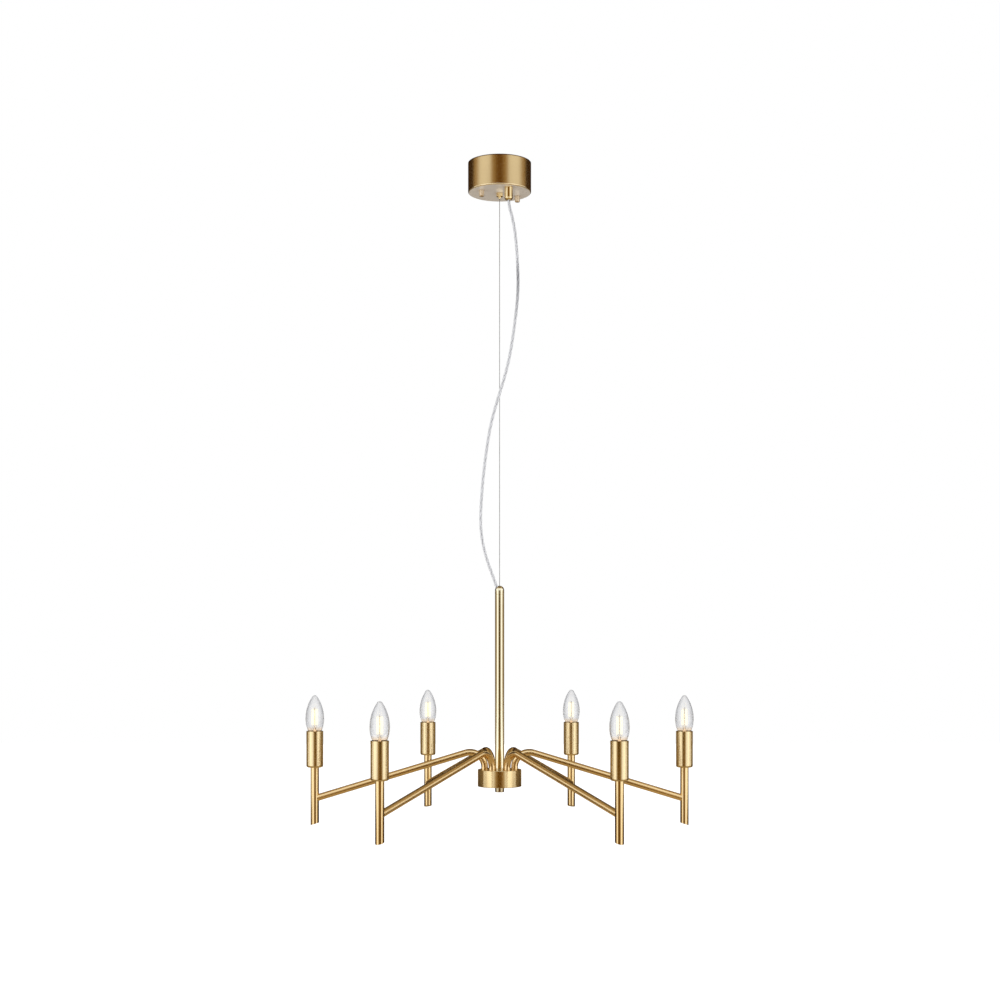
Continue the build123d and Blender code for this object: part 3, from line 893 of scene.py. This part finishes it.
def along(nodes, links, axis):
    """The piece's own coordinate along one axis, in metres."""
    place = nodes.new("ShaderNodeTexCoord")
    axes = nodes.new("ShaderNodeSeparateXYZ")
    links.new(place.outputs["Object"], axes.inputs["Vector"])
    return axes.outputs[axis]


def grain(nodes, links, stretch, detail):
    """Noise on the piece's own coordinates, drawn out by a Mapping node."""
    place = nodes.new("ShaderNodeTexCoord")
    mapping = nodes.new("ShaderNodeMapping")
    mapping.inputs["Scale"].default_value = stretch
    noise = nodes.new("ShaderNodeTexNoise")
    noise.inputs["Scale"].default_value = 1.0
    noise.inputs["Detail"].default_value = detail
    links.new(place.outputs["Object"], mapping.inputs["Vector"])
    links.new(mapping.outputs["Vector"], noise.inputs["Vector"])
    return noise.outputs["Fac"]


def span(nodes, links, value, low, high, start=0.3, end=0.7):
    """Carry a pattern's range onto another range."""
    between = nodes.new("ShaderNodeMapRange")
    between.inputs["From Min"].default_value = start
    between.inputs["From Max"].default_value = end
    between.inputs["To Min"].default_value = low
    between.inputs["To Max"].default_value = high
    links.new(value, between.inputs["Value"])
    return between.outputs["Result"]


def blend_colours(nodes, links, factor, first, second):
    """Mix two colours, or a colour and a socket, by a pattern."""
    mix = nodes.new("ShaderNodeMix")
    mix.data_type = "RGBA"
    links.new(factor, mix.inputs["Factor"])
    for socket, colour in ((mix.inputs[6], first), (mix.inputs[7], second)):
        if isinstance(colour, tuple):
            socket.default_value = (*colour, 1)
        else:
            links.new(colour, socket)
    return mix.outputs[2]


def tinted(nodes, links, pattern, first, second, socket):
    """Let a noise pattern choose a socket's colour between two."""
    links.new(blend_colours(nodes, links, span(nodes, links, pattern, 0, 1), first, second), socket)


def raised(nodes, links, height, shader, microns, strength):
    """Lift the surface by a pattern."""
    bump = nodes.new("ShaderNodeBump")
    bump.inputs["Distance"].default_value = microns * 1e-6
    bump.inputs["Strength"].default_value = strength
    links.new(height, bump.inputs["Height"])
    links.new(bump.outputs["Normal"], shader.inputs["Normal"])


def brass(name, colour, roughness, brushing, microns):
    """Brass with brush marks drawn out along a direction."""
    finish, nodes, links, shader = new_finish(name)
    shader.inputs["Metallic"].default_value = 1.0
    marks = grain(nodes, links, brushing, 3)
    links.new(span(nodes, links, marks, roughness * 0.85, roughness * 1.2), shader.inputs["Roughness"])
    raised(nodes, links, marks, shader, microns, 0.4)
    cloud = grain(nodes, links, (11, 11, 11), 2)
    darker = tuple(0.93 * part for part in colour)
    lighter = tuple(min(1.05 * part, 1) for part in colour)
    tone = blend_colours(nodes, links, span(nodes, links, cloud, 0, 1), darker, lighter)
    links.new(tone, shader.inputs["Base Color"])
    return finish, nodes, links, shader, tone


lathe_marks, fine_marks = (60, 60, 1900), (900, 900, 900)
satin_brass = brass("satin brass", (0.83, 0.68, 0.41), 0.20, fine_marks, 1)[0]
post_brass = brass("fine satin brass", (0.80, 0.61, 0.32), 0.13, fine_marks, 1)[0]
drum_brass = brass("turned brass", (0.79, 0.63, 0.35), 0.19, lathe_marks, 2)[0]
arm_brass = brass("drawn brass", (0.92, 0.70, 0.38), 0.22, fine_marks, 1)[0]
polished_brass = brass("polished brass", (0.865, 0.80, 0.59), 0.09, fine_marks, 1)[0]
grip_brass = brass("bright brass", (0.92, 0.74, 0.42), 0.12, fine_marks, 1)[0]
finial_brass = brass("darkened brass", (0.52, 0.44, 0.29), 0.15, fine_marks, 1)[0]
pale_brass = brass("pale brass", (0.87, 0.74, 0.56), 0.5, fine_marks, 4)[0]
print("each brass has", len(satin_brass.node_tree.nodes), "nodes")

# %% [markdown]
# The canopy is turned like the drum. Its underside is not metallic and is painted pale and matt,
# as a painted reflection of the bright floor below. Ranges on the height tell the four zones apart:
# the pale underside, a painted highlight on the soft edge above it, the wall, and a painted shadow line
# where the wall meets the ceiling.

# %% Canopy brass
canopy_brass, nodes, links, shader, tone = brass("canopy brass", (0.66, 0.50, 0.265), 0.22, lathe_marks, 2)
height = along(nodes, links, "Z")
# Painted reflection: the underside is pale beige and not metallic, standing for the bright floor it would
# mirror.
underside_top, underside_fade = (canopy_low + 0.05) * mm, (canopy_low + 0.3) * mm
below = span(nodes, links, height, 1, 0, start=underside_top, end=underside_fade)
scuffs = span(nodes, links, grain(nodes, links, (300, 1200, 300), 3), 0, 1)
painted_reflection_tone = blend_colours(nodes, links, scuffs, (0.82, 0.72, 0.60), (0.90, 0.79, 0.66))
# Painted shadow: a dark band at the top of the wall, where it meets the ceiling.
rim = span(nodes, links, height, 0, 1, start=-2.4 * mm, end=-0.8 * mm)
painted_shadow_tone = blend_colours(nodes, links, rim, tone, (0.10, 0.045, 0.015))
# Painted highlight: a pale band on the soft lower edge of the wall.
painted_highlight_top, painted_highlight_fade = (canopy_low + 1.2) * mm, (canopy_low + 2.6) * mm
edge = span(nodes, links, height, 1, 0, start=painted_highlight_top, end=painted_highlight_fade)
painted_highlight_tone = blend_colours(nodes, links, edge, painted_shadow_tone, (0.98, 0.86, 0.62))
links.new(blend_colours(nodes, links, below, painted_highlight_tone, painted_reflection_tone), shader.inputs["Base Color"])
links.new(span(nodes, links, below, 1.0, 0.0, start=0, end=1), shader.inputs["Metallic"])
print(canopy_brass.name, "with", len(nodes), "nodes")

# %% [markdown]
# Steel and nickel are plain metals, so they get the brush marks without the warm clouds. Blocks
# and lampholders are moulded plastic, whose skin is never quite even: a little orange peel in the
# bump is enough.


# %% Steel and plastic
def plain_metal(name, colour, roughness, brushing):
    """Bare metal without the warm clouds of brass."""
    finish, nodes, links, shader = new_finish(name)
    shader.inputs["Metallic"].default_value = 1.0
    marks = grain(nodes, links, brushing, 3)
    links.new(span(nodes, links, marks, roughness * 0.8, roughness * 1.3), shader.inputs["Roughness"])
    raised(nodes, links, marks, shader, 5, 0.5)
    tinted(nodes, links, marks, tuple(0.86 * part for part in colour), colour, shader.inputs["Base Color"])
    return finish


def moulded(name, colour, roughness):
    """Moulded plastic with a fine orange-peel surface."""
    finish, nodes, links, shader = new_finish(name)
    peel = grain(nodes, links, fine_marks, 2)
    links.new(span(nodes, links, peel, roughness * 0.85, roughness * 1.15), shader.inputs["Roughness"])
    raised(nodes, links, peel, shader, 12, 0.4)
    tinted(nodes, links, peel, tuple(0.9 * part for part in colour), colour, shader.inputs["Base Color"])
    return finish


zinc_steel = plain_metal("zinc steel", (0.62, 0.63, 0.64), 0.38, (140, 900, 140))
rope_steel = plain_metal("rope steel", (0.45, 0.45, 0.45), 0.34, (900, 900, 300))
tinned_wire = plain_metal("tinned wire", (0.80, 0.80, 0.82), 0.32, (900, 900, 500))
nickel = plain_metal("nickel", (0.70, 0.68, 0.64), 0.22, (120, 120, 1500))
white_plastic = moulded("white plastic", (0.80, 0.79, 0.75), 0.42)
dark_plastic = moulded("dark plastic", (0.035, 0.033, 0.032), 0.40)
print("metals:", zinc_steel.name, rope_steel.name, tinned_wire.name, nickel.name, sep=", ")

# %% [markdown]
# The cord's sleeve is clear plastic with a slight haze, so that the tinned wires show through it.
# One stretch of it, in the first bow, is painted darker, as painted shade for how the light falls
# on the cord there. Two ranges on the height, one from above and one from below, are multiplied,
# which leaves the painted shade only between them.

# %% Clear cord
clear_cord, nodes, links, shader = new_finish("clear cord")
shader.inputs["Transmission Weight"].default_value = 1.0
shader.inputs["IOR"].default_value = 1.5
haze = grain(nodes, links, (500, 500, 500), 2)
links.new(span(nodes, links, haze, 0.08, 0.16), shader.inputs["Roughness"])
hazy = span(nodes, links, haze, 0, 1)
clear_tone = blend_colours(nodes, links, hazy, (0.95, 0.955, 0.96), (0.99, 0.99, 0.99))
height = along(nodes, links, "Z")
# Painted shade: the sleeve is greyer in one band of height, in the first bow.
painted_shade = nodes.new("ShaderNodeMath")
painted_shade.operation = "MULTIPLY"
for number, (clear_height, painted_shade_height) in enumerate(((-0.190, -0.215), (-0.310, -0.235))):
    links.new(span(nodes, links, height, 0, 1, start=clear_height, end=painted_shade_height), painted_shade.inputs[number])
painted_shade_tone = blend_colours(nodes, links, painted_shade.outputs[0], clear_tone, (0.55, 0.55, 0.56))
links.new(painted_shade_tone, shader.inputs["Base Color"])
print(clear_cord.name, "with", len(nodes), "nodes")

# %% [markdown]
# A clear bulb shows its shape by its rim, where one looks through more glass. A Layer Weight node
# knows how far a surface turns away, so it greys the rim and leaves the middle clear, and a
# Volume Absorption in the thin wall adds to it. Next to the sleeve a warm glow is painted into the
# glass colour, standing for the light from the mount.

# %% Bulb glass
glass_ior = 1.47
bulb_glass, nodes, links, shader = new_finish("bulb glass")
shader.inputs["Transmission Weight"].default_value = 1.0
shader.inputs["IOR"].default_value = glass_ior
shader.inputs["Roughness"].default_value = 0.0
seeds = span(nodes, links, grain(nodes, links, (120, 120, 40), 2), 0, 1)
clear_tone = blend_colours(nodes, links, seeds, (0.97, 0.97, 0.97), (0.99, 0.99, 0.99))
slant = nodes.new("ShaderNodeLayerWeight")
slant.inputs["Blend"].default_value = 0.5
rim = span(nodes, links, slant.outputs["Facing"], 0, 1, start=0.10, end=0.80)
rim_tone = blend_colours(nodes, links, rim, clear_tone, (0.56, 0.57, 0.59))
height = along(nodes, links, "Z")
# Painted glow: the glass is warmer close to the sleeve, for the light from the mount.
warm_foot, clear_foot = (sleeve_high + 1) * mm, (sleeve_high + 9) * mm
painted_glow_mask = span(nodes, links, height, 0, 1, start=warm_foot, end=clear_foot)
painted_glow_tone = blend_colours(nodes, links, painted_glow_mask, (0.91, 0.80, 0.67), rim_tone)
links.new(painted_glow_tone, shader.inputs["Base Color"])
absorption = nodes.new("ShaderNodeVolumeAbsorption")
absorption.inputs["Color"].default_value = (0.80, 0.80, 0.81, 1)
absorption.inputs["Density"].default_value = 440
links.new(absorption.outputs[0], nodes["Material Output"].inputs["Volume"])
print(bulb_glass.name, "with", len(nodes), "nodes")

# %% [markdown]
# The mount is milky glass with a painted glow: an emission that stands for the filaments' light on it,
# strongest at its foot. The filaments glow by themselves, only a little brighter than the white
# studio, so that they stay warm yellow.

# %% Glass mount and filaments
mount_glass, nodes, links, shader = new_finish("mount glass")
shader.inputs["Transmission Weight"].default_value = 0.25
shader.inputs["IOR"].default_value = glass_ior
warmth = grain(nodes, links, (260, 260, 120), 2)
links.new(span(nodes, links, warmth, 0.30, 0.45), shader.inputs["Roughness"])
tinted(nodes, links, warmth, (0.93, 0.85, 0.72), (0.97, 0.91, 0.80), shader.inputs["Base Color"])
# Painted glow: the mount's emission, strongest near the sleeve, stands for the filaments' light.
height = along(nodes, links, "Z")
painted_glow_mask = span(nodes, links, height, 0, 1, start=warm_foot, end=(sleeve_high + 12) * mm)
mount_painted_glow = blend_colours(nodes, links, painted_glow_mask, (1.0, 0.78, 0.55), (0.12, 0.11, 0.09))
links.new(mount_painted_glow, shader.inputs["Emission Color"])
shader.inputs["Emission Strength"].default_value = 0.55

filament_light, nodes, links, shader = new_finish("filament light")
shader.inputs["Roughness"].default_value = 0.5
shader.inputs["Emission Strength"].default_value = 1.05
coat = grain(nodes, links, (900, 900, 500), 2)
tinted(nodes, links, coat, (0.95, 0.72, 0.30), (0.98, 0.82, 0.45), shader.inputs["Base Color"])
tinted(nodes, links, coat, (1.0, 0.93, 0.66), (1.0, 0.96, 0.76), shader.inputs["Emission Color"])
print(mount_glass.name, "and", filament_light.name)

# %% [markdown]
# Every piece has one finish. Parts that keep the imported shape, such as the lampholders and the
# ceiling bracket, are dressed as well, since they show when the lamp is taken apart.


# %% Each piece gets its finish
def dress(piece, finish):
    """Give a piece its one finish."""
    piece.data.materials.clear()
    piece.data.materials.append(finish)


for stretch in stretches:
    dress(cord_sleeves[stretch], clear_cord)
    dress(cord_cores[stretch], tinned_wire)
for piece, finish in (
    (steel_wire, rope_steel), (canopy, canopy_brass), (nuts[0], pale_brass), (nuts[1], pale_brass),
    (wire_grip, grip_brass), (cord_grip, grip_brass), (cap, polished_brass), (stem, polished_brass),
    (drum, drum_brass), (floor_disc, drum_brass), (finial, finial_brass),
):
    dress(piece, finish)
candle_finishes = {
    "arm": arm_brass, "post": post_brass, "sleeve": satin_brass, "glass": bulb_glass,
    "mount": mount_glass, "leads": nickel, "filaments": filament_light,
}
for candle in candle_sets.values():
    for kind, piece in candle.items():
        dress(piece, candle_finishes[kind])
frame_finishes = {
    "ceiling_bracket": zinc_steel, "bracket_studs": zinc_steel, "terminal_block": white_plastic,
    "stem_rod": zinc_steel, "arm_clamp_plate": zinc_steel, "junction_block": white_plastic,
}
for name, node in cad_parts.items():
    if name.startswith("lampholder"):
        dress(node, dark_plastic)
    elif name.startswith("bulb_base"):
        dress(node, nickel)
    elif name in frame_finishes:
        dress(node, frame_finishes[name])
print("materials in the file", len(bpy.data.materials))

# %% [markdown]
# ## Studio
# The lamp hangs in a white studio between two soft boxes, left and right of the camera. Dark
# cards stand before and behind it, hidden from the camera, so that they show only as reflections.
# They give each brass tube its dark middle line and its dark edges, as flags do in a studio.

# %% World and floor
def seen_directly(nodes, links):
    """One for a ray from the camera, a mirror or glass, and nought for scattered light."""
    path = nodes.new("ShaderNodeLightPath")
    total = path.outputs["Is Camera Ray"]
    for kind in ("Is Glossy Ray", "Is Transmission Ray"):
        add = nodes.new("ShaderNodeMath")
        add.operation = "ADD"
        add.use_clamp = True
        links.new(total, add.inputs[0])
        links.new(path.outputs[kind], add.inputs[1])
        total = add.outputs[0]
    return total


world = bpy.data.worlds.new("white studio")
scene.world = world
world.use_nodes = True
nodes, links = world.node_tree.nodes, world.node_tree.links
soft_light = nodes["Background"]
soft_light.inputs["Color"].default_value = (1, 1, 1, 1)
soft_light.inputs["Strength"].default_value = 0.75
white_wall = nodes.new("ShaderNodeBackground")
white_wall.inputs["Color"].default_value = (1, 1, 1, 1)
white_wall.inputs["Strength"].default_value = 1.0
choose = nodes.new("ShaderNodeMixShader")
links.new(seen_directly(nodes, links), choose.inputs["Fac"])
links.new(soft_light.outputs[0], choose.inputs[1])
links.new(white_wall.outputs[0], choose.inputs[2])
links.new(choose.outputs[0], nodes["World Output"].inputs["Surface"])

floor_height = -2.45
bpy.ops.object.select_all(action="DESELECT")
bpy.ops.mesh.primitive_plane_add(size=40, location=(0, 0, floor_height))
studio_floor = bpy.context.active_object
studio_floor.name = "studio_floor"
floor_paint, nodes, links, shader = new_finish("studio floor")
shader.inputs["Base Color"].default_value = (0.82, 0.82, 0.82, 1)
shader.inputs["Roughness"].default_value = 0.9
bright = nodes.new("ShaderNodeEmission")
links.new(seen_directly(nodes, links), bright.inputs["Strength"])
bright.inputs["Color"].default_value = (0.62, 0.62, 0.62, 1)
both = nodes.new("ShaderNodeAddShader")
links.new(shader.outputs[0], both.inputs[0])
links.new(bright.outputs[0], both.inputs[1])
links.new(both.outputs[0], nodes["Material Output"].inputs["Surface"])
dress(studio_floor, floor_paint)
print("floor at", floor_height, "m")

# %% [markdown]
# Two soft boxes light the lamp from left and right. The dark cards are stacked in bands by height,
# because canopy, stem, drum and posts each mirror another part of the room. A card can fade to
# white along one axis, so that the dark line on a tube gets a soft side, as from a flag whose
# edge is out of focus.


# %% Soft boxes and dark cards
def soft_box(name, turn, distance, height, width, tall, watts):
    """An area lamp that faces the lamp's axis. The turn is from the camera's side, in degrees."""
    lamp = bpy.data.lights.new(name, "AREA")
    lamp.shape = "RECTANGLE"
    lamp.size = width
    lamp.size_y = tall
    lamp.energy = watts
    holder = bpy.data.objects.new(name, lamp)
    scene.collection.objects.link(holder)
    way = Vector((sin(radians(turn)), -cos(radians(turn)), 0))
    holder.location = way * distance + Vector((0, 0, height))
    holder.rotation_euler = way.to_track_quat("Z", "Y").to_euler()


for side, turn in (("left", -58), ("right", 58)):
    soft_box(f"soft box {side}", turn, distance=2.6, height=-0.75, width=1.1, tall=2.4, watts=3)

warm_grey, grey_share = (0.40, 0.255, 0.09), 0.45


def card(name, colour, corners, fade=None):
    """A card that only mirror-like surfaces see. A fade runs along an axis, from its colour to white."""
    mesh = bpy.data.meshes.new(name)
    mesh.from_pydata(corners, [], [tuple(range(len(corners)))])
    flag = bpy.data.objects.new(name, mesh)
    scene.collection.objects.link(flag)
    for kind in ("camera", "diffuse", "transmission", "volume_scatter", "shadow"):
        setattr(flag, f"visible_{kind}", False)
    paint, nodes, links, _ = new_finish(name)
    glow = nodes.new("ShaderNodeEmission")
    glow.inputs["Color"].default_value = (*colour, 1)
    if fade:
        axis, start, end = fade
        away = along(nodes, links, axis)
        if axis == "X":
            both_ways = nodes.new("ShaderNodeMath")
            both_ways.operation = "ABSOLUTE"
            links.new(away, both_ways.inputs[0])
            away = both_ways.outputs[0]
        ramp = nodes.new("ShaderNodeValToRGB")
        ramp.color_ramp.interpolation = "EASE"
        ramp.color_ramp.elements[0].color = (*colour, 1)
        ramp.color_ramp.elements[1].color = (1, 1, 1, 1)
        ramp.color_ramp.elements.new(grey_share).color = (*warm_grey, 1)
        links.new(span(nodes, links, away, 0, 1, start, end), ramp.inputs["Fac"])
        links.new(ramp.outputs["Color"], glow.inputs["Color"])
    links.new(glow.outputs[0], nodes["Material Output"].inputs["Surface"])
    paint.cycles.emission_sampling = "NONE"
    dress(flag, paint)


def upright_card(name, colour, start, end, low, high, fade=None):
    """An upright card between two points on the floor plan."""
    card(name, colour, [(*start, low), (*end, low), (*end, high), (*start, high)], fade)


def level_card(name, colour, reach, front, back, height):
    """A level card, as wide to the left as to the right."""
    plan = [(-reach, front), (reach, front), (reach, back), (-reach, back)]
    card(name, colour, [(*corner, height) for corner in plan])


# %% [markdown]
# Front cards are given by colour, half width, place along Y, lower and upper edge, and how far
# from the middle they stay dark. Bands of the room round the lamp are given by lower and upper
# edge, back colour, side colour, how far the sides come forward, and where their fade starts.

# %% Cards in their places
room_wall, front_wall = 2.6, -1.3
front_brown, hub_brown, stem_brown = (0.10, 0.042, 0.001), (0.18, 0.08, 0.003), (0.03, 0.022, 0.004)
canopy_brown, back_brown, side_brown = (0.16, 0.065, 0.001), (0.03, 0.013, 0.006), (0.26, 0.19, 0.10)
behind_brown, high_brown = (0.13, 0.09, 0.045), (0.05, 0.024, 0.009)
front_cards = {
    "card front low": (front_brown, 0.95, front_wall, -2.4, -1.33, 0.20),
    "card front": (hub_brown, 0.80, front_wall, -1.33, -1.17, 0.14),
    "card front middle": (stem_brown, 0.80, front_wall, -1.17, -0.75, 0.16),
    "card front high": (canopy_brown, 0.45, -0.6, -0.06, 0.55, 0.05),
}
for name, (colour, reach, place, low, high, dark_reach) in front_cards.items():
    upright_card(name, colour, (-reach, place), (reach, place), low, high, ("X", dark_reach, reach))
room_bands = (
    (-2.4, -1.46, back_brown, back_brown, -2.2, 0.6),
    (-1.46, -1.21, side_brown, side_brown, 0.3, None),
    (-1.21, -0.72, behind_brown, side_brown, -1.3, 0.6),
    (-0.72, 0.5, back_brown, back_brown, 0.7, None),
    (0.5, 2.4, high_brown, high_brown, -0.9, 1.3),
)
for low, high, behind, colour, front, fade_start in room_bands:
    fade = ("Y", fade_start, front) if fade_start else None
    upright_card("card back", behind, (-room_wall, room_wall), (room_wall, room_wall), low, high)
    for side, wall_x in (("left", -room_wall), ("right", room_wall)):
        upright_card(f"card {side}", colour, (wall_x, front), (wall_x, room_wall), low, high, fade)
level_card("card above", (0.19, 0.14, 0.07), reach=0.75, front=front_wall, back=room_wall, height=1.3)
level_card("card above wide", (0.42, 0.30, 0.15), reach=1.75, front=front_wall, back=room_wall, height=1.32)
level_card("card below", (0.42, 0.31, 0.16), reach=room_wall, front=-room_wall, back=room_wall, height=-2.3)
print("studio lit by", len(bpy.data.lights), "soft boxes")
